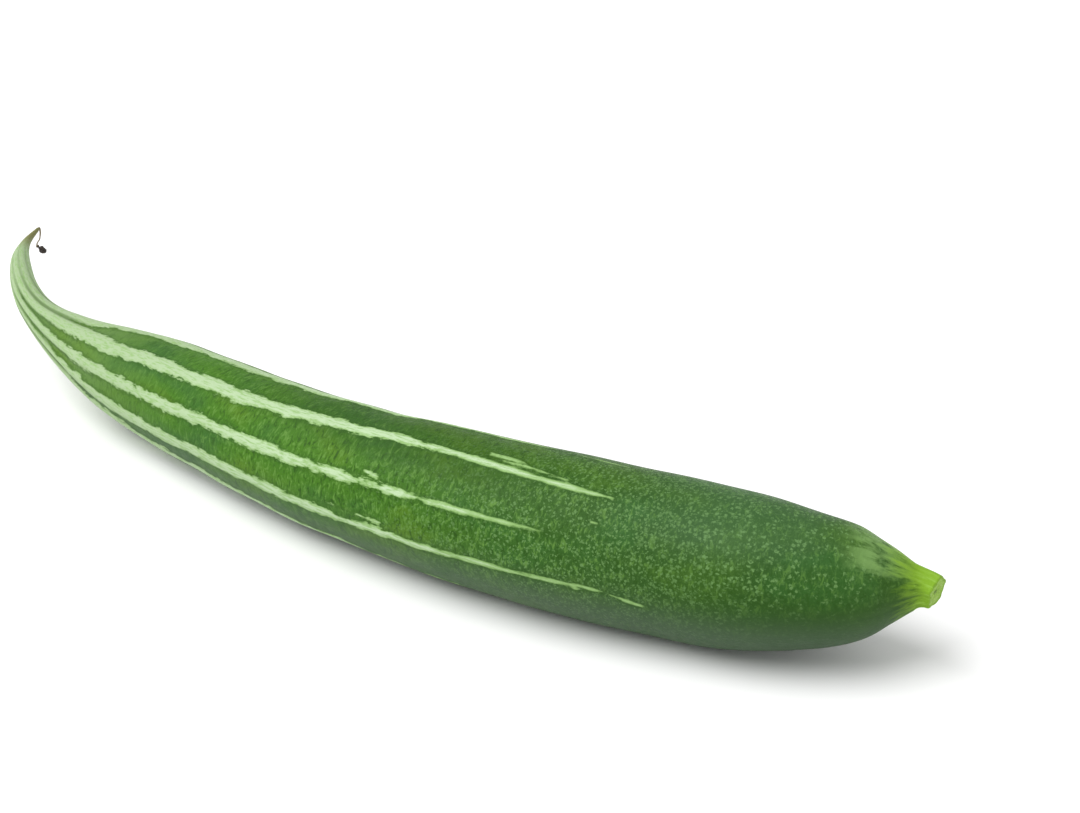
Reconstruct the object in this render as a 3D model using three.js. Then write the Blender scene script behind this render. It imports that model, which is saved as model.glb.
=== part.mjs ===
// A snake gourd lying on its side, as picked: millimetres, +Z up.
// +X runs from the thin hooked tail to the stem end, and the fruit bows towards -Y.
// The origin is the middle of the underside of the whole object's box.

import * as THREE from 'three';
import { mergeVertices } from 'three/addons/utils/BufferGeometryUtils.js';

// Stations along the fruit, from the tail tip to the stem end.
// along and aside place the centre line on the surface below, radius is half the thickness,
// and clearance is the height of the underside above that surface.
const fruitStations = [
  { along: -205.5, aside: 31.5, radius: 0.6, clearance: 26.6 },
  { along: -197, aside: 18, radius: 1.8, clearance: 25.5 },
  { along: -184, aside: 5, radius: 3.6, clearance: 23.6 },
  { along: -163.5, aside: -9, radius: 4.7, clearance: 21.4 },
  { along: -144, aside: -17, radius: 6.3, clearance: 18 },
  { along: -120, aside: -21.5, radius: 10.6, clearance: 12 },
  { along: -96, aside: -22.5, radius: 15.3, clearance: 5.4 },
  { along: -70, aside: -21.5, radius: 18.8, clearance: 0.4 },
  { along: -38, aside: -24, radius: 20.2, clearance: 0 },
  { along: 4, aside: -26, radius: 21.6, clearance: 0 },
  { along: 50, aside: -23.5, radius: 23.6, clearance: 0 },
  { along: 94, aside: -16.5, radius: 24.8, clearance: 0 },
  { along: 134, aside: -5.5, radius: 24.8, clearance: 0 },
  { along: 158, aside: 2, radius: 23.5, clearance: 1.8 },
  { along: 174, aside: 8.8, radius: 20.8, clearance: 5 },
  { along: 186.5, aside: 15.5, radius: 17.2, clearance: 9 },
  { along: 194.5, aside: 20.5, radius: 11.8, clearance: 14.8 },
  { along: 200.5, aside: 24.2, radius: 7, clearance: 19.8 },
];
const settle = 0.6; // how far the soft underside is pressed flat where it rests
const ringsPerStation = 4;
const facetsRound = 32;

// The cut stalk that is left on the stem end: its radius at each fraction of its length.
const stubLength = 7;
const stubStations = [
  { fraction: 0, radius: 6.5 },
  { fraction: 0.2, radius: 5.8 },
  { fraction: 0.6, radius: 5.1 },
  { fraction: 0.9, radius: 4.9 },
  { fraction: 1, radius: 4.4 },
];
const stubHollow = { radius: 2.9, depth: 0.6 }; // where the cut face has shrunk in
const stubHeading = 2; // degrees from +X in plan, to which the stalk turns from the fruit's end
const stubDroop = 8; // degrees below level
const stubFacetsRound = 20;

// The dried flower that hangs from the tail tip: a thread, then a shrivelled knot.
// The path is measured from the tip, and the knot takes up its last part.
const threadRadius = 0.45;
const knotRadius = 1.3;
const knotStart = 0.6;
const threadPath = [
  new THREE.Vector3(-0.3, 0.4, 0),
  new THREE.Vector3(-0.4, 0.9, -0.6),
  new THREE.Vector3(-0.2, 0.8, -2.2),
  new THREE.Vector3(-0.3, 0.3, -4.6),
  new THREE.Vector3(-1.2, -0.6, -7),
  new THREE.Vector3(0.3, 0.3, -8.8),
  new THREE.Vector3(1.6, 1.4, -10.2),
];
const flowerFacetsRound = 8;
const flowerRings = 14;

const weldDistance = 1e-4;
const jointGap = 0.3; // between pieces that grew together, so that each stays its own solid

const upwards = new THREE.Vector3(0, 0, 1);
const sideways = new THREE.Vector3(0, 1, 0);

function smoothCurve(points) {
  return new THREE.CatmullRomCurve3(points, false, 'catmullrom', 0.5);
}

// Bends a closed shape of revolution along a curve. The profile's x is the radius there, and its
// y is the parameter of the curve, from 0 to 1. The rings keep one side square to the reference
// direction, which the curve never runs along, so they don't twist.
function bendAlong(profile, facets, curve, reference) {
  const geometry = new THREE.LatheGeometry(profile, facets);
  geometry.deleteAttribute('normal');
  geometry.deleteAttribute('uv');
  const position = geometry.getAttribute('position');
  const round = new THREE.Vector3();
  for (let i = 0; i < position.count; i += 1) {
    round.fromBufferAttribute(position, i);
    const tangent = curve.getTangent(round.y);
    const side = tangent.clone().cross(reference).normalize();
    const over = side.clone().cross(tangent);
    const point = curve.getPoint(round.y);
    point.addScaledVector(side, round.x);
    point.addScaledVector(over, round.z);
    position.setXYZ(i, point.x, point.y, point.z);
  }
  return geometry;
}

// Presses everything below the surface up to it, which leaves one flat strip along the underside.
function pressFlat(geometry) {
  const position = geometry.getAttribute('position');
  for (let i = 0; i < position.count; i += 1) {
    position.setZ(i, Math.max(position.getZ(i), 0));
  }
  return geometry;
}

function namedMesh(name, geometry, colour, roughness) {
  const material = new THREE.MeshStandardMaterial({ color: colour, roughness, metalness: 0 });
  const welded = mergeVertices(geometry, weldDistance);
  welded.computeVertexNormals();
  const mesh = new THREE.Mesh(welded, material);
  mesh.name = name;
  return mesh;
}

const centreLine = smoothCurve(fruitStations.map(
  (station) => new THREE.Vector3(
    station.along,
    station.aside,
    station.clearance + station.radius - settle,
  ),
));
const thickness = smoothCurve(fruitStations.map(
  (station) => new THREE.Vector3(station.radius, 0, 0),
));

function makeFruit() {
  const rings = (fruitStations.length - 1) * ringsPerStation;
  const profile = [new THREE.Vector2(0, 0)];
  for (let i = 0; i <= rings; i += 1) {
    const t = i / rings;
    profile.push(new THREE.Vector2(thickness.getPoint(t).x, t));
  }
  profile.push(new THREE.Vector2(0, 1));
  return pressFlat(bendAlong(profile, facetsRound, centreLine, upwards));
}

function makeStemStub() {
  const heading = THREE.MathUtils.degToRad(stubHeading);
  const outwards = centreLine.getTangent(1);
  const cutwards = new THREE.Vector3(Math.cos(heading), Math.sin(heading), 0);
  cutwards.z = -Math.tan(THREE.MathUtils.degToRad(stubDroop));
  cutwards.normalize();
  const root = centreLine.getPoint(1).addScaledVector(outwards, jointGap);
  const bend = root.clone().addScaledVector(outwards, stubLength / 2);
  const cut = bend.clone().addScaledVector(cutwards, stubLength / 2);
  const axis = new THREE.QuadraticBezierCurve3(root, bend, cut);
  const hollowFloor = 1 - stubHollow.depth / stubLength;
  const profile = [
    new THREE.Vector2(0, 0),
    ...stubStations.map((station) => new THREE.Vector2(station.radius, station.fraction)),
    new THREE.Vector2(stubHollow.radius, hollowFloor),
    new THREE.Vector2(0, hollowFloor),
  ];
  return bendAlong(profile, stubFacetsRound, axis, upwards);
}

function makeWitheredFlower() {
  const tip = centreLine.getPoint(0);
  const path = smoothCurve(threadPath.map((offset) => offset.clone().add(tip)));
  const profile = [new THREE.Vector2(0, 0)];
  for (let i = 0; i <= flowerRings; i += 1) {
    const t = i / flowerRings;
    const intoKnot = Math.max(0, (t - knotStart) / (1 - knotStart));
    const swelling = Math.sin(Math.PI * intoKnot) * (knotRadius - threadRadius);
    profile.push(new THREE.Vector2(threadRadius + swelling, t));
  }
  profile.push(new THREE.Vector2(0, 1));
  return bendAlong(profile, flowerFacetsRound, path, sideways);
}

const fruit = namedMesh('fruit', makeFruit(), 0x3f7a35, 0.45);
const stemStub = namedMesh('stem_stub', makeStemStub(), 0x97bd3f, 0.6);
const witheredFlower = namedMesh('withered_flower', makeWitheredFlower(), 0x4b3b2b, 0.9);

const snakeGourd = new THREE.Group();
snakeGourd.add(fruit, stemStub, witheredFlower);

const box = new THREE.Box3().setFromObject(snakeGourd);
const middle = box.getCenter(new THREE.Vector3());
snakeGourd.position.set(-middle.x, -middle.y, 0);

export default snakeGourd;
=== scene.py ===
import math

import bpy
import numpy as np
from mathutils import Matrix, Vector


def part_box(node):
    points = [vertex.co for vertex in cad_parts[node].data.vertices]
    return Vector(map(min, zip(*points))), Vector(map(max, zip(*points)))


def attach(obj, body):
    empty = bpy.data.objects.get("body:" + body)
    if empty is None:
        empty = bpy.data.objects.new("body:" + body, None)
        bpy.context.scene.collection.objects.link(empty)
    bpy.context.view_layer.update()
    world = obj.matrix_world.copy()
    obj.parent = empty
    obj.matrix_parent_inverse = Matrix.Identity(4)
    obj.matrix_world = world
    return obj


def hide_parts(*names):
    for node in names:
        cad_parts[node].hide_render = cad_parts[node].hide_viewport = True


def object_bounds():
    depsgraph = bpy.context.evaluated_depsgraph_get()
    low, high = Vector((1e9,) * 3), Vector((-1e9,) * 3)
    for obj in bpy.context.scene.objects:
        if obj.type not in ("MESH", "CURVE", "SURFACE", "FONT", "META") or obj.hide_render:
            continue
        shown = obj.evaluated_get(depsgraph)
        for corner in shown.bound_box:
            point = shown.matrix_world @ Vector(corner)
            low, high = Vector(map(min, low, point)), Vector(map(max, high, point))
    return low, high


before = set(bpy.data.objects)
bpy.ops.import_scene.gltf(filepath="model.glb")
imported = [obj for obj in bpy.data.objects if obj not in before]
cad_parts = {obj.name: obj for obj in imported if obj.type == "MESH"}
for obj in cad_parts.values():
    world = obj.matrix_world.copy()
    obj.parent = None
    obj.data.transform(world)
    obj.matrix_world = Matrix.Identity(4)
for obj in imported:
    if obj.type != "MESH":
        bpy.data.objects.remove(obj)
cadLow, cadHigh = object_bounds()
mm = 0.001


def smoothThrough(values, perSpan):
    # a curve through rows of values: on each span the cubic whose end slopes are half the
    # difference of the two neighbouring rows
    rows = np.asarray(values, float)
    padded = np.vstack([2 * rows[0] - rows[1], rows, 2 * rows[-1] - rows[-2]])
    before, start, end, after = padded[:-3], padded[1:-2], padded[2:-1], padded[3:]
    t = (np.arange(perSpan) / perSpan)[None, :, None]
    before, start, end, after = (part[:, None, :] for part in (before, start, end, after))
    cubic = 0.5 * (
        2 * start + (end - before) * t
        + (2 * before - 5 * start + 4 * end - after) * t ** 2
        + (3 * start - before - 3 * end + after) * t ** 3
    )
    return np.vstack([cubic.reshape(-1, rows.shape[1]), rows[-1]])


def smoothStep(value, low, high):
    # 0 below low, 1 above high, and 3x squared less 2x cubed between
    x = np.clip((value - low) / (high - low), 0, 1)
    return x * x * (3 - 2 * x)


def makePath(points, reference=(0, 0, 1)):
    # lengths and three directions along a line of points: onwards, to the side, and over
    steps = np.linalg.norm(np.diff(points, axis=0), axis=1)
    length = np.concatenate([[0], np.cumsum(steps)])
    onwards = np.gradient(points, length, axis=0)
    onwards /= np.linalg.norm(onwards, axis=1)[:, None]
    side = np.cross(onwards, np.asarray(reference, float))
    side /= np.linalg.norm(side, axis=1)[:, None]
    return {"length": length, "rows": np.hstack([points, onwards, side, np.cross(side, onwards)])}


def pathAt(path, s):
    # the path's point and directions at lengths s, by straight lines between its points
    columns = [np.interp(s, path["length"], column) for column in path["rows"].T]
    rows = np.stack(columns, axis=-1)
    return rows[..., 0:3], rows[..., 3:6], rows[..., 6:9], rows[..., 9:12]


def carryRound(path, s, theta, radius, ahead=0):
    # a section carried along a path: centre plus radius times the direction at angle theta,
    # which is measured from the top towards the side, plus a step ahead along the path
    centre, onwards, side, over = pathAt(path, s)
    turned = np.sin(theta)[..., None] * side + np.cos(theta)[..., None] * over
    return centre + radius[..., None] * turned + np.asarray(ahead)[..., None] * onwards


def waves(s, theta, seed, count, longest, shortest, mostRound):
    # a smooth random relief: a sum of sine waves with whole numbers of turns round the body
    random = np.random.default_rng(seed)
    total = np.zeros_like(s)
    for _ in range(count):
        wavelength = random.uniform(shortest, longest)
        turns = random.integers(0, mostRound + 1)
        phase = random.uniform(0, 2 * np.pi)
        total += np.sin(2 * np.pi * s / wavelength + turns * theta + phase)
    return total / math.sqrt(count / 2)


def makeSurface(name, points, fields, sharpRows=()):
    # a closed tube from a grid of points, rows along and columns round: quads between rows,
    # and a fan to the middle of the first and of the last row, which close the ends
    rows, around = points.shape[:2]
    grid = np.arange(rows * around).reshape(rows, around)
    onward = np.roll(grid, -1, axis=1)
    quads = np.stack([grid[:-1], onward[:-1], onward[1:], grid[1:]], axis=-1).reshape(-1, 4)
    firstPole, lastPole = rows * around, rows * around + 1
    startFan = np.stack([onward[0], grid[0], np.full(around, firstPole)], axis=-1)
    endFan = np.stack([grid[-1], onward[-1], np.full(around, lastPole)], axis=-1)
    flat = points.reshape(-1, 3)
    ends = np.stack([points[0].mean(axis=0), points[-1].mean(axis=0)])
    vertices = np.vstack([flat, ends]) * mm
    loops = np.concatenate([quads.ravel(), startFan.ravel(), endFan.ravel()])
    sizes = np.concatenate([np.full(len(quads), 4), np.full(2 * around, 3)])
    mesh = bpy.data.meshes.new(name)
    mesh.vertices.add(len(vertices))
    mesh.vertices.foreach_set("co", vertices.astype(np.float32).ravel())
    mesh.loops.add(len(loops))
    mesh.loops.foreach_set("vertex_index", loops.astype(np.int32))
    mesh.polygons.add(len(sizes))
    starts = np.concatenate([[0], np.cumsum(sizes)[:-1]])
    mesh.polygons.foreach_set("loop_start", starts.astype(np.int32))
    mesh.polygons.foreach_set("use_smooth", np.ones(len(sizes), bool))
    mesh.update(calc_edges=True)

    # one UV map, u round the body and v along it
    u0 = np.broadcast_to(np.arange(around) / around, (rows - 1, around))
    v0 = np.broadcast_to((np.arange(rows - 1) + 1)[:, None] / (rows + 1), (rows - 1, around))
    du, dv = 1 / around, 1 / (rows + 1)
    quadUv = np.stack([
        np.stack([u0, v0], -1), np.stack([u0 + du, v0], -1),
        np.stack([u0 + du, v0 + dv], -1), np.stack([u0, v0 + dv], -1),
    ], axis=2).reshape(-1, 2)
    u = np.arange(around) / around
    low, high = np.full(around, dv), np.full(around, 1 - dv)
    startUv = np.stack([
        np.stack([u + du, low], -1), np.stack([u, low], -1),
        np.stack([u + du / 2, np.zeros(around)], -1),
    ], axis=1).reshape(-1, 2)
    endUv = np.stack([
        np.stack([u, high], -1), np.stack([u + du, high], -1),
        np.stack([u + du / 2, np.ones(around)], -1),
    ], axis=1).reshape(-1, 2)
    layer = mesh.uv_layers.new(name="OFBake")
    layer.data.foreach_set("uv", np.vstack([quadUv, startUv, endUv]).astype(np.float32).ravel())

    for field, values in fields.items():
        kind = "FLOAT_VECTOR" if values.ndim == 3 else "FLOAT"
        slot = "vector" if values.ndim == 3 else "value"
        poles = np.stack([values[0].mean(axis=0), values[-1].mean(axis=0)])
        if values.ndim == 3:
            full = np.vstack([values.reshape(-1, 3), poles])
        else:
            full = np.concatenate([values.ravel(), poles])
        attribute = mesh.attributes.new(field, kind, "POINT")
        attribute.data.foreach_set(slot, full.astype(np.float32).ravel())

    if sharpRows:
        edges = np.empty(len(mesh.edges) * 2, np.int32)
        mesh.edges.foreach_get("vertices", edges)
        rowOf = np.where(edges < rows * around, edges // around, -1).reshape(-1, 2)
        sharp = (rowOf[:, 0] == rowOf[:, 1]) & np.isin(rowOf[:, 0], [r % rows for r in sharpRows])
        mark = mesh.attributes.new("sharp_edge", "BOOLEAN", "EDGE")
        mark.data.foreach_set("value", sharp)
    mesh.validate()
    thing = bpy.data.objects.new(name, mesh)
    bpy.context.scene.collection.objects.link(thing)
    return thing


# what a user would change on the fruit: lengths in millimetres, angles in degrees
gourd = {
    # along and aside on the table, radius, height of the underside: tail tip to stem end
    "stations": [
        (-205.5, 31.5, 0.6, 26.6), (-197, 18, 1.8, 25.5), (-184, 5, 3.6, 23.6),
        (-163.5, -9, 4.7, 21.4), (-144, -17, 6.3, 18), (-120, -21.5, 10.6, 12),
        (-96, -22.5, 15.3, 5.4), (-70, -21.5, 18.8, 0.4), (-38, -24, 20.2, 0),
        (4, -26, 21.6, 0), (50, -23.5, 23.6, 0), (94, -16.5, 24.8, 0),
        (134, -5.5, 24.8, 0), (158, 2, 23.5, 1.8), (174, 8.8, 20.8, 5),
        (186.5, 15.5, 17.2, 9), (194.5, 20.5, 11.8, 14.8), (200.5, 24.2, 7, 19.8),
    ],
    "settle": 0.6,           # how far the belly is pressed flat
    "pressSoftness": 0.25,   # how gently the skin turns up from the pressed strip
    "rings": 352,            # of the mesh, along the fruit
    "around": 208,           # points in each ring
    "tipRounding": 0.7,      # the tail tip is round over this length
    "swell": 0.13,           # lumps and hollows of the whole body
    "stripeRise": 0.16,      # pale stripes stand this far above the green
    "tailRidge": 0.22,       # and this much more on the tail
    "tailGroove": 0.045,     # the tail's grooves, as a share of its radius
    "swellFrom": (60, 150),  # the swells set in over this stretch
    "riseFrom": (4, 60),     # and so do the stripes' rise and the tail's ridges
    "ridgeTo": (90, 190),    # the tail's ridges fade away over this stretch
    "riseTo": (300, 350),    # and the stripes' rise over this one
    "neckRidges": 5,         # round the stem end
    "neckRise": 0.4,         # their height at the stalk
    "neckReach": 11,         # the length over which they die away
}

# the stub of the cut stalk
stub = {
    "length": 7,
    "gap": 0.3,              # between the fruit's end and the stub's centre line
    "heading": 2,            # degrees from the long axis, to which the stalk turns
    "droop": 8,              # degrees below level
    "waist": 4.85,           # radius at its thinnest
    "flare": 2.15,           # added to the radius at the fruit
    "flareReach": 3.1,       # the length over which the flare dies away
    "rim": 0.55,             # radius of the cut's rounded edge
    "hollow": 0.5,           # how far the cut face dips
    "torn": 0.1,             # how rough the cut is
    "bundles": 10,           # faint dots in a ring on the cut face
    "bundleRing": 0.62,      # that ring's share of the face's radius
    "skinRings": 26,
    "rimRings": 8,
    "faceRings": 17,
}

# the stations become one centre line for the fruit and the stub, placed by the frame's own box
table = np.array(gourd["stations"], float)
height = table[:, 3] + table[:, 2] - gourd["settle"]
dense = smoothThrough(np.column_stack([table[:, 0], table[:, 1], height, table[:, 2]]), 24)
fruitLine, fruitRadius = dense[:, :3], dense[:, 3]
fruitPath = makePath(fruitLine)
fruitLength = fruitPath["length"][-1]
coarseTheta = np.linspace(0, 2 * np.pi, 33)[:-1][None, :]
coarseS = fruitPath["length"][:, None] + 0 * coarseTheta
coarse = carryRound(fruitPath, coarseS, coarseTheta + 0 * coarseS, fruitRadius[:, None] + 0 * coarseS)
boxLow, boxHigh = (np.array(corner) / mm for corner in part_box("fruit"))
shift = (boxLow + boxHigh) / 2 - (coarse.min(axis=(0, 1)) + coarse.max(axis=(0, 1))) / 2
shift[2] = 0
fruitLine = fruitLine + shift

# the stub bends from the fruit's end towards its own heading, as a curve of two even halves
endPoint = fruitLine[-1]
outwards = pathAt(fruitPath, fruitLength)[1]
heading, droop = math.radians(stub["heading"]), math.radians(stub["droop"])
cutwards = np.array([math.cos(heading), math.sin(heading), -math.tan(droop)])
cutwards /= np.linalg.norm(cutwards)
root = endPoint + outwards * stub["gap"]
bend = root + outwards * stub["length"] / 2
cut = bend + cutwards * stub["length"] / 2
share = np.linspace(0, 1, 25)[:, None]
stubLine = (1 - share) ** 2 * root + 2 * share * (1 - share) * bend + share ** 2 * cut
wholePath = makePath(np.vstack([fruitLine, stubLine]))
wholeLength = wholePath["length"][-1]


def bodyRadius(s):
    # the fruit's radius from its stations, then the stub's: its waist plus a flare that dies away
    onFruit = np.interp(s, fruitPath["length"], fruitRadius)
    beyond = np.maximum(s - fruitLength, 0)
    onStub = stub["waist"] + stub["flare"] * np.exp(-beyond / stub["flareReach"])
    return np.where(s < fruitLength, onFruit, onStub)


# the pale stripes: angles round from the top at these lengths from the tail tip, the greatest
# width, where it ends, where the green wedge beside it opens, and how fast that one widens
stripeStations = (80, 145, 210, 275, 340)
stripes = [
    {"angles": (-13, -15, -16, -21, -17), "width": 4.8, "end": 322, "opens": 96, "growth": 0.0032},
    {"angles": (25, 29, 25, 18, 26), "width": 5.3, "end": 346, "opens": 62, "growth": 0.001},
    {"angles": (62, 65, 62, 61, 61), "width": 4.0, "end": 331, "opens": 68, "growth": 0.0006},
    {"angles": (88, 97, 95, 97, 94), "width": 4.1, "end": 344, "opens": 94, "growth": 0.001},
    {"angles": (112, 119, 126, 134, 134), "width": 4.0, "end": 300, "opens": 90, "growth": 0.0012},
    {"angles": (148, 154, 163, 168, 171), "width": 4.6, "end": 318, "opens": 84, "growth": 0.001},
    {"angles": (186, 192, 198, 203, 206), "width": 5.2, "end": 334, "opens": 100, "growth": 0.003},
    {"angles": (222, 228, 233, 240, 238), "width": 4.2, "end": 308, "opens": 78, "growth": 0.0008},
    {"angles": (262, 264, 270, 272, 276), "width": 5.0, "end": 328, "opens": 92, "growth": 0.0012},
    {"angles": (303, 302, 307, 303, 309), "width": 4.4, "end": 315, "opens": 96, "growth": 0.002},
]
stripeForm = {
    "shrinksFrom": 185,      # from here a stripe narrows towards its end
    "endShare": 0.36,        # to this share of its width
    "point": 14,             # the length of its pointed end
    "sinksBy": 4,            # past which it goes this far under the green
    "sinksOver": 10,         # over this length
    "tailShare": 0.6,        # its share of its width on the tail
    "tailTo": (90, 130),     # where it grows to its whole width
    "wedge": 0.25,           # half width of a green wedge, once it has opened
    "wedgeOpens": 6,         # over this length
    "groove": 0.14,          # reach of a groove between two ribs, as a share of the radius
    "grooveFrom": (6, 40),   # the grooves set in over this stretch
    "grooveTo": (95, 140),   # and fade away over this one
}

# loose pale dashes past the stripes' ends: from, to, angle there, angle there, width
dashes = [
    (339, 350, 93, 94, 1.3), (352, 363, 95, 100, 1.3), (326, 345, -16, -13, 1.0),
    (303, 315, 11, 12, 1.3), (312, 331, 14, 20, 1.1), (308, 322, 15, 17, 0.8), (345, 347, 26, 27, 1.0),
    (342, 344, 47, 47, 1.1), (266, 271, 53, 54, 1.6), (252, 274, 87, 89, 0.3), (336, 341, 209, 211, 1.4),
    (330, 337, 274, 277, 1.3), (322, 329, 310, 312, 1.5), (338, 342, 96, 96, 1.2),
]


def stripeDepth(s, theta):
    # how far inside pale skin a place is, in millimetres, negative on the green: the greatest of
    # half width less distance round from each stripe's middle, of the tail's pale skin outside
    # the green wedges, and of half width less distance from each loose dash. Beside it, how near
    # a place is to a groove between two ribs of the tail
    radius = bodyRadius(s)
    degrees = np.degrees(theta)
    perSpan = 12
    spans = len(stripeStations) - 1
    stationsAt = np.linspace(stripeStations[0], stripeStations[-1], spans * perSpan + 1)

    def middleOf(angles):
        curve = smoothThrough(np.array(angles, float)[:, None], perSpan)[:, 0]
        return np.interp(s, stationsAt, curve)

    def arcFrom(angle):
        return np.abs((degrees - angle + 180) % 360 - 180) * np.pi / 180 * radius

    depth = np.full_like(s, -50)
    groove = np.zeros_like(s)
    for index, stripe in enumerate(stripes):
        end = stripe["end"]
        after = stripes[(index + 1) % len(stripes)]
        middle = middleOf(stripe["angles"])
        share = 1 - (1 - stripeForm["endShare"]) * smoothStep(s, stripeForm["shrinksFrom"], end)
        offTail = smoothStep(s, *stripeForm["tailTo"])
        share = share * (stripeForm["tailShare"] + (1 - stripeForm["tailShare"]) * offTail)
        point = np.sqrt(np.clip((end - s) / stripeForm["point"], 0, 1))
        sunk = stripeForm["sinksBy"] * np.clip((s - end) / stripeForm["sinksOver"], 0, 1)
        halfWidth = stripe["width"] / 2 * share * point - sunk
        depth = np.maximum(depth, halfWidth - arcFrom(middle))
        lapped = np.array(after["angles"]) + (360 if index == len(stripes) - 1 else 0)
        between = (middle + middleOf(lapped)) / 2
        opened = s - stripe["opens"]
        wedge = np.where(
            opened > 0,
            stripeForm["wedge"] * np.clip(opened / stripeForm["wedgeOpens"], 0, 1)
            + stripe["growth"] * opened ** 2,
            opened * 0.1,
        )
        halfGap = np.radians(np.abs(middleOf(lapped) - middle)) / 2 * radius
        inGap = halfGap - arcFrom(between)
        groove = np.maximum(groove, np.exp(-(arcFrom(between) / (stripeForm["groove"] * radius)) ** 2))
        depth = np.where(inGap > 0, np.maximum(depth, np.minimum(arcFrom(between) - wedge, 3)), depth)
    for start, stop, first, last, width in dashes:
        place = np.clip((s - start) / (stop - start), 0, 1)
        overrun = np.maximum(start - s, s - stop).clip(0)
        across = arcFrom(first + (last - first) * place)
        swell = width / 2 * (0.45 + 0.55 * np.sin(np.pi * place))
        depth = np.maximum(depth, swell - np.hypot(across, overrun))
    onTail = smoothStep(s, *stripeForm["grooveFrom"]) * (1 - smoothStep(s, *stripeForm["grooveTo"]))
    return np.maximum(depth, -6), groove * onTail


def bodyRelief(s, theta, depth, groove):
    # what is added to the radius: slow swells, a rise under pale skin, which is greater on the
    # tail, less the tail's grooves, and ridges that fade away from the stem end
    slow = gourd["swell"] * waves(s, theta, seed=11, count=9, longest=90, shortest=28, mostRound=3)
    nearStem = smoothStep(s, fruitLength - 30, fruitLength)
    onBody = smoothStep(s, *gourd["swellFrom"]) * (1 - 0.6 * nearStem)
    onTail = 1 - smoothStep(s, *gourd["ridgeTo"])
    striped = 1 - smoothStep(s, *gourd["riseTo"])
    rise = gourd["stripeRise"] * striped + gourd["tailRidge"] * onTail
    rise = rise * smoothStep(s, *gourd["riseFrom"])
    stripesRise = rise * np.tanh(depth / 1.1)
    nearNeck = np.exp(-np.maximum(fruitLength - s, 0) / gourd["neckReach"])
    ridges = gourd["neckRise"] * nearNeck * np.cos(gourd["neckRidges"] * theta + 0.7)
    fine = 0.1 * nearNeck * np.cos(2 * gourd["neckRidges"] * theta + 0.1)
    return slow * onBody + stripesRise + ridges + fine - gourd["tailGroove"] * groove * bodyRadius(s)


def pressOnTable(points):
    # heights below the table come up to it, with a soft turn: half of the height plus the root
    # of its square and the softness squared
    z = points[..., 2]
    points[..., 2] = (z + np.sqrt(z * z + gourd["pressSoftness"] ** 2)) / 2
    return points


def makeFruit():
    # rings close together where the fruit is thin, farther apart where it is thick
    finely = np.linspace(0, fruitLength, 4000)
    density = 1 / (0.3 + bodyRadius(finely) / 24)
    count = np.concatenate([[0], np.cumsum((density[1:] + density[:-1]) / 2)])
    s1 = np.interp(np.linspace(0, count[-1], gourd["rings"]), count, finely)
    rounding = gourd["tipRounding"]
    s1 = np.concatenate([[0, 0.02, 0.08, 0.2, 0.4], s1[s1 > rounding]])
    theta1 = np.linspace(0, 2 * np.pi, gourd["around"] + 1)[:-1]
    s, theta = np.meshgrid(s1, theta1, indexing="ij")
    depth, groove = stripeDepth(s, theta)
    radius = bodyRadius(s) + bodyRelief(s, theta, depth, groove)
    inTip = np.clip(1 - s / rounding, 0, 1)
    radius = np.maximum(radius * np.sqrt(1 - inTip ** 2), 0.03)
    points = pressOnTable(carryRound(wholePath, s, theta, radius))
    straight = np.stack([s, radius * np.cos(theta), radius * np.sin(theta)], axis=-1)
    fields = {"skinPoint": straight, "stripeDepth": depth, "groove": groove}
    return makeSurface("gourdBody", points, fields, [-1])


def makeStub():
    # the skin runs on from the fruit's last ring, rolls over the rim as a quarter circle, and
    # the cut face dips towards its middle by the hollow times one less the square of the radius
    rim, hollow = stub["rim"], stub["hollow"]
    skinEnd = wholeLength - rim
    onSkin = np.linspace(fruitLength, skinEnd, stub["skinRings"])
    turn = np.linspace(0, np.pi / 2, stub["rimRings"] + 1)[1:]
    faceShare = np.linspace(1, 0.04, stub["faceRings"] + 1)[1:]
    sRows = np.concatenate([onSkin, np.full(len(turn) + len(faceShare), skinEnd)])
    aheadRows = np.concatenate([
        0 * onSkin, rim * np.sin(turn), rim - hollow * (1 - faceShare ** 2),
    ])
    inRows = np.concatenate([0 * onSkin, rim * (1 - np.cos(turn)), np.full(len(faceShare), rim)])
    shareRows = np.concatenate([0 * onSkin + 1, 0 * turn + 1, faceShare])
    faceRows = np.concatenate([0 * onSkin, np.sin(turn) ** 6, 0 * faceShare + 1])
    theta1 = np.linspace(0, 2 * np.pi, gourd["around"] // 2 + 1)[:-1]
    s, theta = np.meshgrid(sRows, theta1, indexing="ij")
    ahead, inwards, share, face = (
        np.repeat(rows[:, None], len(theta1), axis=1) for rows in (aheadRows, inRows, shareRows, faceRows)
    )
    depth, groove = stripeDepth(s, theta)
    radius = (bodyRadius(s) + bodyRelief(s, theta, depth, groove) - inwards) * share
    torn = waves(share * 9, theta, seed=5, count=10, longest=6, shortest=1.2, mostRound=14)
    ahead = ahead + stub["torn"] * torn * face
    points = carryRound(wholePath, s, theta, radius, ahead)
    straight = np.stack([s + ahead, radius * np.cos(theta), radius * np.sin(theta)], axis=-1)
    spokes = np.cos(stub["bundles"] / 2 * theta + 0.4) ** 2
    bundle = face * spokes * np.exp(-((share - stub["bundleRing"]) / 0.1) ** 2)
    fields = {"skinPoint": straight, "cutFace": face, "cutShare": share, "bundle": bundle}
    return makeSurface("stalkStub", points, fields, [0])


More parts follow.
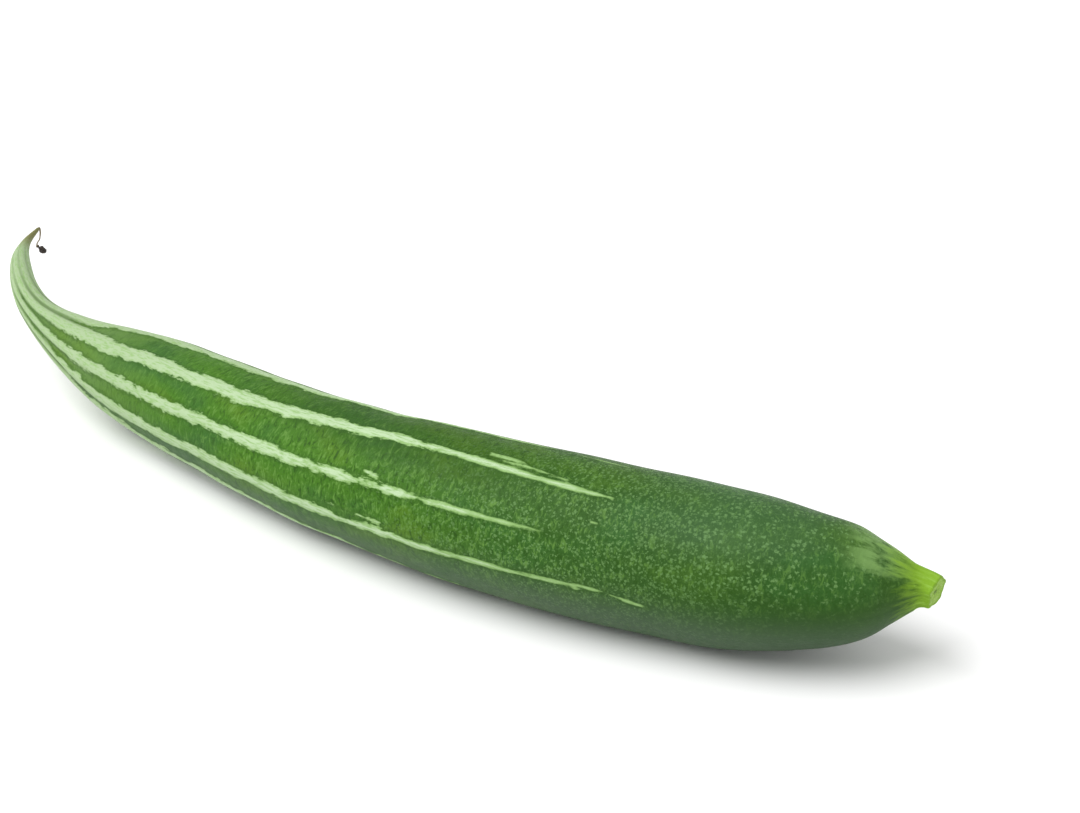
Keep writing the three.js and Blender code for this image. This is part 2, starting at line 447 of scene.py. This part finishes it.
# the dried flower
flower = {
    # the dried thread's route from the tail tip
    "path": [
        (-0.05, 0.05, 0), (-0.3, 0.5, 0), (-0.4, 0.9, -0.6), (-0.2, 0.8, -2.2), (-0.3, 0.3, -4.6),
        (-1.2, -0.6, -7), (0.3, 0.3, -8.8), (1.6, 1.4, -10.2),
    ],
    "threadRadius": 0.32,
    "knotRadius": 1.15,
    "knotStart": 0.62,       # where the knot starts, as a share of the route
    "bud": (0.5, 0.16, 0.1),        # height, place and reach, as shares of the knot
    "petals": (0.66, 0.36),         # place and reach
    "folds": (0.26, 0.16),          # depths of the two sets of folds
    "crumple": 0.12,
    "rings": 90,
    "around": 40,
}


def makeFlower():
    # a thread that swells into a shrivelled knot: the radius is the thread's plus the greater of
    # a small bud and a rounder hump, times one plus folds that wind along it and a random
    # crumple, and both ends close as the root of the distance left
    tip = fruitLine[0]
    route = smoothThrough(np.array(flower["path"]) + tip, 16)
    path = makePath(route, (0.2, 1, 0.1))
    share1 = np.linspace(0, 1, flower["rings"])
    theta1 = np.linspace(0, 2 * np.pi, flower["around"] + 1)[:-1]
    share, theta = np.meshgrid(share1, theta1, indexing="ij")
    intoKnot = np.clip((share - flower["knotStart"]) / (1 - flower["knotStart"]), 0, 1)
    budHeight, budAt, budReach = flower["bud"]
    petalsAt, petalsReach = flower["petals"]
    bud = budHeight * np.exp(-((intoKnot - budAt) / budReach) ** 2)
    petals = np.sqrt(np.clip(1 - ((intoKnot - petalsAt) / petalsReach) ** 2, 0, 1))
    hump = np.maximum(bud, petals) * (flower["knotRadius"] - flower["threadRadius"])
    wide, narrow = flower["folds"]
    folds = wide * np.abs(np.sin(2.5 * theta + 5 * share))
    folds = folds + narrow * np.abs(np.sin(4 * theta - 9 * share + 1))
    crumple = waves(share * 60, theta, seed=3, count=12, longest=16, shortest=4, mostRound=5)
    crumple = flower["crumple"] * crumple
    dry = 1 + (folds - 0.2 + crumple) * (0.25 + 0.75 * smoothStep(intoKnot, 0, 0.3))
    closing = np.sqrt(np.clip(1 - np.maximum(share - 0.965, 0) / 0.035, 0.02, 1))
    starting = np.sqrt(np.clip(share / 0.02, 0.02, 1))
    thread = flower["threadRadius"] * (1 - 0.35 * smoothStep(share, 0, 0.5))
    radius = (thread + hump) * dry * closing * starting
    s = share * path["length"][-1]
    points = carryRound(path, s, theta, radius)
    straight = np.stack([s, radius * np.cos(theta), radius * np.sin(theta)], axis=-1)
    return makeSurface("driedFlower", points, {"skinPoint": straight, "knot": intoKnot, "fold": folds})


class Nodes:
    # short calls that add a node, set its inputs and give back its output
    def __init__(self, name):
        self.material = bpy.data.materials.new(name)
        self.material.use_nodes = True
        self.tree = self.material.node_tree
        self.tree.nodes.clear()

    def put(self, socket, value):
        if isinstance(value, bpy.types.NodeSocket):
            self.tree.links.new(value, socket)
        elif isinstance(value, (tuple, list)) and len(value) == 3 and socket.type == "RGBA":
            socket.default_value = (*value, 1)
        else:
            socket.default_value = value

    def add(self, kind, inputs=None, out=0, **settings):
        node = self.tree.nodes.new("ShaderNode" + kind)
        for key, value in settings.items():
            setattr(node, key, value)
        for key, value in (inputs or {}).items():
            self.put(node.inputs[key], value)
        return node.outputs[out]

    def field(self, name, out="Fac"):
        return self.add("Attribute", out=out, attribute_name=name)

    def math(self, operation, a, b=0.0, clamp=False):
        return self.add("Math", {0: a, 1: b}, operation=operation, use_clamp=clamp)

    def ramp(self, value, low, high, toLow=0.0, toHigh=1.0):
        inputs = {"Value": value, "From Min": low, "From Max": high, "To Min": toLow, "To Max": toHigh}
        return self.add("MapRange", inputs, interpolation_type="SMOOTHSTEP")

    def mix(self, share, a, b, blend="MIX"):
        node = self.tree.nodes.new("ShaderNodeMix")
        node.data_type, node.blend_type = "RGBA", blend
        for index, value in ((0, share), (6, a), (7, b)):
            self.put(node.inputs[index], value)
        return node.outputs[2]

    def scaled(self, vector, scale, move=(0, 0, 0)):
        return self.add("Mapping", {"Vector": vector, "Scale": scale, "Location": move})

    def noise(self, vector, scale, detail=2.0, roughness=0.5, distortion=0.0):
        inputs = {"Vector": vector, "Scale": scale, "Detail": detail}
        inputs.update({"Roughness": roughness, "Distortion": distortion})
        return self.add("TexNoise", inputs)

    def bumped(self, height, depth, under=None):
        inputs = {"Height": height, "Strength": 1.0, "Distance": depth * mm}
        if under is not None:
            inputs["Normal"] = under
        return self.add("Bump", inputs)

    def finish(self, inputs):
        shader = self.add("BsdfPrincipled", inputs)
        output = self.tree.nodes.new("ShaderNodeOutputMaterial")
        self.tree.links.new(shader, output.inputs["Surface"])
        return self.material


# colours are linear
skin = {
    "tipOlive": (0.17, 0.17, 0.06),
    "grooveGreen": (0.1, 0.17, 0.055),
    "tailGreen": (0.105, 0.2, 0.048),
    "midGreen": (0.048, 0.148, 0.009),
    "deepGreen": (0.026, 0.079, 0.012),
    "neckGreen": (0.032, 0.092, 0.013),
    "neckPale": (0.17, 0.31, 0.09),
    "stalkLime": (0.2, 0.37, 0.025),
    "yellowing": (0.078, 0.17, 0.008),
    "blueing": (0.03, 0.105, 0.018),
    # the underside's grey: partly its own colour, partly a painted reflection of the pale floor
    "greyAndFloorReflection": (0.072, 0.11, 0.07),
    # a painted sheen
    "paintedSheen": (0.08, 0.17, 0.08),
    # the streaks' dark green, also used for painted shade
    "dark": (0.02, 0.068, 0.005),
    "fleck": (0.125, 0.26, 0.05),
    "speck": (0.122, 0.24, 0.075),
    "paleEdge": (0.22, 0.38, 0.12),
    "pale": (0.43, 0.57, 0.35),
    "paleTail": (0.315, 0.425, 0.235),
    "roughness": 0.45,
    "shine": 0.1,
}

# how fine the skin's patterns are, per millimetre along, over and aside, and their relief
skinPattern = {
    "patch": (0.03, 0.06, 0.06),
    "streak": (0.8, 0.36, 0.36),
    "slowEdge": (0.09, 0.14, 0.14),
    "raggedEdge": (0.24, 0.85, 0.85),
    "crispEdge": (0.9, 1.8, 1.8),
    "vein": (0.25, 1.6, 1.6),
    "grain": (0.4, 1.6, 1.6),
    "smallSpecks": 0.88,
    "largeSpecks": 0.58,
    "poreDepth": 0.12,
    "grainDepth": 0.07,
    "speckHeight": 0.04,
}


def lengthColour(n, s):
    # the green from the tail tip to the stem end, each colour giving way to the next
    colour = n.mix(n.ramp(s, 95, 185), skin["tailGreen"], skin["midGreen"])
    colour = n.mix(n.ramp(s, 230, 370), colour, skin["deepGreen"])
    return n.mix(n.ramp(s, fruitLength - 40, fruitLength - 8), colour, skin["neckGreen"])


def directionRound(n, place):
    # the direction from the centre line to the skin, of length one
    return n.add("VectorMath", {0: n.scaled(place, (0, 1, 1))}, operation="NORMALIZE")


def radialStreaks(n, place, around):
    # streaks that converge on the stalk: noise read almost by the direction round the body alone
    slant = n.add("VectorMath", {0: n.scaled(place, (0.022, 0, 0)), 1: around}, operation="ADD")
    return n.noise(slant, 7.0, 4, 0.6)


def upperShare(n, around):
    # 1 on the upper side and 0 on the flanks, from how far the direction points upwards
    return n.ramp(n.add("SeparateXYZ", {"Vector": around}, out=1), 0.5, 0.88)


def limeShare(n, s, gathered, upper):
    # lime from an edge near the stalk, which the streaks make ragged, and which sits 5 mm
    # nearer the tail on the upper side
    edge = n.math("ADD", s, n.ramp(gathered, 0.3, 0.7, -3, 3))
    edge = n.math("ADD", edge, n.ramp(upper, 0, 1, -4, 1))
    return n.ramp(edge, fruitLength - 10, fruitLength + 2, 0, 0.95)


def makeSkinMaterial():
    # green ground, pale stripes where their depth is above nought, then the tip and the neck over
    # both, all on the straightened body: x along it, y over it and z to the side, in millimetres
    n = Nodes("gourdSkin")
    place = n.field("skinPoint", "Vector")
    depth = n.field("stripeDepth")
    groove = n.field("groove")
    s = n.add("SeparateXYZ", {"Vector": place})

    # green ground with slow patches of yellower and bluer green
    green = lengthColour(n, s)
    patch = n.noise(n.scaled(place, skinPattern["patch"]), 1.0, 3)
    yellowed = n.math("MULTIPLY", n.ramp(patch, 0.5, 0.7, 0, 0.7), n.ramp(s, 360, 280, 0.25, 1))
    green = n.mix(yellowed, green, skin["yellowing"])
    green = n.mix(n.ramp(patch, 0.5, 0.32, 0, 0.7), green, skin["blueing"])

    # short streaks that run round the fruit, strongest at mid length
    streak = n.noise(n.scaled(place, skinPattern["streak"]), 1.0, 4, 0.65, 0.8)
    streakShare = n.math("MULTIPLY", n.ramp(s, 120, 260, 0.4, 1), n.ramp(s, 380, 300, 0.6, 1))
    green = n.mix(n.math("MULTIPLY", n.ramp(streak, 0.5, 0.68, 0, 0.75), streakShare), green, skin["fleck"])
    green = n.mix(n.math("MULTIPLY", n.ramp(streak, 0.48, 0.34, 0, 0.9), streakShare), green, skin["dark"])

    # pale specks, small and close at mid length, larger and farther apart towards the stem
    wobble = n.add("TexNoise", {"Vector": place, "Scale": 1.3, "Detail": 2.0}, out="Color")
    wobble = n.scaled(wobble, (1.7, 1.7, 1.7))
    moved = n.add("VectorMath", {0: wobble, 1: place}, operation="ADD")
    smallSpots = {"Vector": moved, "Scale": skinPattern["smallSpecks"], "Randomness": 1.0}
    largeSpots = {"Vector": moved, "Scale": skinPattern["largeSpecks"], "Randomness": 1.0}
    small = n.add("TexVoronoi", smallSpots, out="Distance")
    large = n.add("TexVoronoi", largeSpots, out="Distance")
    smallSpeck = n.math("MULTIPLY", n.ramp(small, 0.46, 0.18), n.ramp(s, 240, 330, 0, 0.8))
    smallSpeck = n.math("MULTIPLY", smallSpeck, n.ramp(s, 410, 350, 0.2, 1))
    largeSpeck = n.math("MULTIPLY", n.ramp(large, 0.38, 0.16), n.ramp(s, 325, 390, 0, 0.9))
    largeSpeck = n.math("MULTIPLY", largeSpeck, n.ramp(s, fruitLength - 2, fruitLength - 16))
    speck = n.math("MAXIMUM", smallSpeck, largeSpeck)
    green = n.mix(speck, green, skin["speck"])

    # painted shade on the upper side of the middle and on the underside of the stem end; the side that
    # faces down is greyer, partly its own colour and partly a painted reflection of the floor; a painted
    # sheen on the upper side near the stem end
    down = n.add("SeparateXYZ", {"Vector": place}, out=1)
    # painted shade: the upper side of the middle of the body is darkened
    paintedShade = n.math("MULTIPLY", n.ramp(down, 15, 21), n.ramp(s, 180, 240, 0, 0.5))
    green = n.mix(n.math("MULTIPLY", paintedShade, n.ramp(s, 345, 295)), green, skin["dark"])
    # painted shade: the underside of the stem end is darkened
    paintedShade = n.math("MULTIPLY", n.ramp(down, 11, -4), n.ramp(s, 340, 415, 0, 0.85))
    green = n.mix(paintedShade, green, skin["dark"])
    # the side that faces down is greyer: partly its own colour, partly a painted reflection of the pale
    # floor
    green = n.mix(n.ramp(down, 4, -14, 0, 0.68), green, skin["greyAndFloorReflection"])
    # painted sheen: a bluish-grey tint on the upper side near the stem end
    paintedSheen = n.math("MULTIPLY", n.ramp(down, 10, 20, 0, 0.22), n.ramp(s, 340, 385))
    paintedSheen = n.math("MULTIPLY", paintedSheen, n.ramp(s, fruitLength - 12, fruitLength - 34))
    green = n.mix(paintedSheen, green, skin["paintedSheen"])

    # ragged pale stripes: the depth is shifted by noise at three sizes before it is cut off
    slow = n.noise(n.scaled(place, skinPattern["slowEdge"]), 1.0, 2)
    ragged = n.noise(n.scaled(place, skinPattern["raggedEdge"], (7, 3, 1)), 1.0, 3, 0.6)
    crisp = n.noise(n.scaled(place, skinPattern["crispEdge"]), 1.0, 2)
    shift = n.math("ADD", n.ramp(slow, 0, 1, -1.1, 1.1), n.ramp(ragged, 0, 1, -1.1, 1.1))
    shift = n.math("ADD", shift, n.ramp(crisp, 0, 1, -0.3, 0.3))
    shift = n.math("MULTIPLY", shift, n.ramp(s, 320, 270, 0.3, 1))
    shift = n.math("MULTIPLY", shift, n.ramp(s, 75, 125, 0.25, 1))
    shifted = n.math("ADD", depth, shift)
    stripe = n.ramp(shifted, -0.25, 0.35)
    vein = n.noise(n.scaled(place, skinPattern["vein"]), 1.0, 3, 0.6)
    pale = n.mix(n.ramp(shifted, 0.1, 1.2), skin["paleEdge"], skin["pale"])
    pale = n.mix(n.ramp(s, 320, 50), pale, skin["paleTail"])
    pale = n.mix(n.ramp(vein, 0.46, 0.66, 0, 0.75), pale, skin["paleEdge"])
    sunk = n.math("MULTIPLY", n.ramp(groove, 0.15, 0.95), n.ramp(s, 42, 78, 0.3, 0.85))
    pale = n.mix(sunk, pale, skin["grooveGreen"])
    shade = n.math("MULTIPLY", n.ramp(shifted, -1.5, -0.2, 0, 0.4), n.math("SUBTRACT", 1.0, stripe))
    green = n.mix(shade, green, skin["dark"])
    colour = n.mix(stripe, green, pale)

    # olive tail tip, and lime streaks that gather towards the stalk
    colour = n.mix(n.ramp(s, 30, 8), colour, skin["tipOlive"])
    around = directionRound(n, place)
    gathered = radialStreaks(n, place, around)
    upper = upperShare(n, around)
    lime = limeShare(n, s, gathered, upper)
    combed = n.math("MULTIPLY", n.ramp(gathered, 0.3, 0.6), n.ramp(s, fruitLength - 24, fruitLength - 11))
    colour = n.mix(n.math("MULTIPLY", combed, n.ramp(upper, 0, 1, 0.05, 1)), colour, skin["neckPale"])
    colour = n.mix(lime, colour, skin["stalkLime"])

    pores = n.noise(place, 1.2, 3, 0.6)
    grain = n.noise(n.scaled(place, skinPattern["grain"]), 1.0, 3)
    normal = n.bumped(pores, skinPattern["poreDepth"])
    normal = n.bumped(grain, skinPattern["grainDepth"], normal)
    normal = n.bumped(speck, skinPattern["speckHeight"], normal)
    gloss = n.noise(place, 0.3, 3)
    roughness = n.ramp(gloss, 0.3, 0.7, skin["roughness"] - 0.05, skin["roughness"] + 0.07)
    roughness = n.math("ADD", roughness, n.math("MULTIPLY", stripe, 0.06))
    return n.finish({
        "Base Color": colour, "Roughness": roughness, "Normal": normal,
        "IOR": 1.45, "Specular IOR Level": skin["shine"],
    })


stalkColours = {
    "streak": (0.28, 0.48, 0.08),
    "face": (0.3, 0.48, 0.085),
    "faceRim": (0.2, 0.36, 0.03),
    "faceMiddle": (0.26, 0.4, 0.1),
    "bundle": (0.36, 0.52, 0.14),
    "fibre": (0.22, 0.35, 0.06),
}


def makeStalkMaterial():
    # the skin's lime and streaks run on from the fruit, and the cut face shades from its middle
    # to its rim, with the bundles' dots and fine fibres
    n = Nodes("stalkSkin")
    place = n.field("skinPoint", "Vector")
    face = n.field("cutFace")
    share = n.field("cutShare")
    bundle = n.field("bundle")
    s = n.add("SeparateXYZ", {"Vector": place})
    around = directionRound(n, place)
    gathered = radialStreaks(n, place, around)
    lime = limeShare(n, s, gathered, upperShare(n, around))
    skinColour = n.mix(lime, skin["neckGreen"], skin["stalkLime"])
    skinColour = n.mix(n.ramp(gathered, 0.5, 0.7, 0, 0.5), skinColour, stalkColours["streak"])
    faceColour = n.mix(n.ramp(share, 0.8, 1.0), stalkColours["face"], stalkColours["faceRim"])
    faceColour = n.mix(n.ramp(share, 0.3, 0.1), faceColour, stalkColours["faceMiddle"])
    faceColour = n.mix(n.ramp(bundle, 0.2, 0.7, 0, 0.6), faceColour, stalkColours["bundle"])
    fibre = n.noise(place, 1.6, 3, 0.6)
    faceColour = n.mix(n.ramp(fibre, 0.5, 0.7, 0, 0.35), faceColour, stalkColours["fibre"])
    colour = n.mix(face, skinColour, faceColour)
    normal = n.bumped(gathered, 0.12)
    normal = n.bumped(fibre, 0.1, normal)
    roughness = n.ramp(fibre, 0.3, 0.7, 0.42, 0.58)
    return n.finish({
        "Base Color": colour, "Roughness": roughness, "Normal": normal,
        "IOR": 1.45, "Specular IOR Level": skin["shine"],
    })


driedColours = {
    "thread": (0.24, 0.19, 0.09),
    "threadGrain": (0.1, 0.075, 0.035),
    "knot": (0.012, 0.01, 0.011),
    "knotFold": (0.05, 0.04, 0.035),
    "knotGrain": (0.09, 0.065, 0.04),
}


def makeDriedMaterial():
    # the thread's straw brown gives way to the knot's near black, which is browner on its folds
    n = Nodes("driedFlower")
    place = n.field("skinPoint", "Vector")
    knot = n.field("knot")
    fold = n.field("fold")
    grain = n.noise(n.scaled(place, (0.8, 3.0, 3.0)), 1.0, 4, 0.65)
    thread = n.mix(grain, driedColours["thread"], driedColours["threadGrain"])
    dark = n.mix(n.ramp(fold, 0.05, 0.35), driedColours["knot"], driedColours["knotFold"])
    dark = n.mix(n.ramp(grain, 0.5, 0.8, 0, 0.6), dark, driedColours["knotGrain"])
    colour = n.mix(n.ramp(knot, 0.0, 0.25), thread, dark)
    normal = n.bumped(grain, 0.12)
    return n.finish({"Base Color": colour, "Roughness": 0.85, "Normal": normal, "IOR": 1.4})


def makeFloor():
    # one pale square under the object, its half side in metres
    low = cadLow.z
    half = 4
    corners = [(-half, -half, low), (half, -half, low), (half, half, low), (-half, half, low)]
    mesh = bpy.data.meshes.new("floor")
    mesh.from_pydata(corners, [], [(0, 1, 2, 3)])
    floor = bpy.data.objects.new("floor", mesh)
    bpy.context.scene.collection.objects.link(floor)
    n = Nodes("paleFloor")
    pale = {"Base Color": (0.9, 0.9, 0.9), "Roughness": 0.9, "Specular IOR Level": 0.2}
    mesh.materials.append(n.finish(pale))


# the camera: angles in degrees, lengths in millimetres
view = {
    "azimuth": 40.3,
    "elevation": 27,
    "angle": 24,             # across the picture
    "aim": (39.4, 51, 25),   # from the middle of the underside
    "distance": 854.6,
}


def makeCamera():
    # the camera stands back from its aim by the distance, turned by the two angles
    centre = (np.array(cadLow) + np.array(cadHigh)) / 2
    aim = np.array([centre[0], centre[1], cadLow.z]) + np.array(view["aim"]) * mm
    azimuth, elevation = math.radians(view["azimuth"]), math.radians(view["elevation"])
    back = np.array([
        math.sin(azimuth) * math.cos(elevation),
        -math.cos(azimuth) * math.cos(elevation),
        math.sin(elevation),
    ])
    camera = bpy.data.objects.new("camera", bpy.data.cameras.new("camera"))
    camera.data.sensor_width = 36
    camera.data.lens = 18 / math.tan(math.radians(view["angle"]) / 2)
    camera.location = aim + back * view["distance"] * mm
    camera.rotation_euler = (math.pi / 2 - elevation, 0, azimuth)
    bpy.context.scene.collection.objects.link(camera)
    bpy.context.scene.camera = camera


lighting = {
    "world": 0.72,
    "overhead": {"from": (-0.45, -0.55, 1), "spread": 56, "strength": 2.65},
}


def makeLights():
    # an even white surround, and one wide soft light from above
    world = bpy.data.worlds.new("studio")
    bpy.context.scene.world = world
    world.use_nodes = True
    background = world.node_tree.nodes["Background"]
    background.inputs["Color"].default_value = (1, 1, 1, 1)
    background.inputs["Strength"].default_value = lighting["world"]
    light = bpy.data.lights.new("overhead", "SUN")
    light.energy = lighting["overhead"]["strength"]
    light.angle = math.radians(lighting["overhead"]["spread"])
    lamp = bpy.data.objects.new("overhead", light)
    x, y, z = lighting["overhead"]["from"]
    lamp.rotation_euler = (0, math.atan2(math.hypot(x, y), z), math.atan2(y, x))
    bpy.context.scene.collection.objects.link(lamp)


makeCamera()
makeLights()
makeFloor()
scene = bpy.context.scene
scene.view_settings.view_transform = "Standard"
scene.view_settings.look = "None"
print("camera, lights and floor are placed")

body = makeFruit()
body.data.materials.append(makeSkinMaterial())
print("fruit:", len(body.data.polygons), "faces")

stalk = makeStub()
stalk.data.materials.append(makeStalkMaterial())
print("stalk stub:", len(stalk.data.polygons), "faces")

dried = makeFlower()
dried.data.materials.append(makeDriedMaterial())
print("dried flower:", len(dried.data.polygons), "faces")

for piece, node in ((body, "fruit"), (stalk, "stem_stub"), (dried, "withered_flower")):
    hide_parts(node)
    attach(piece, "root")
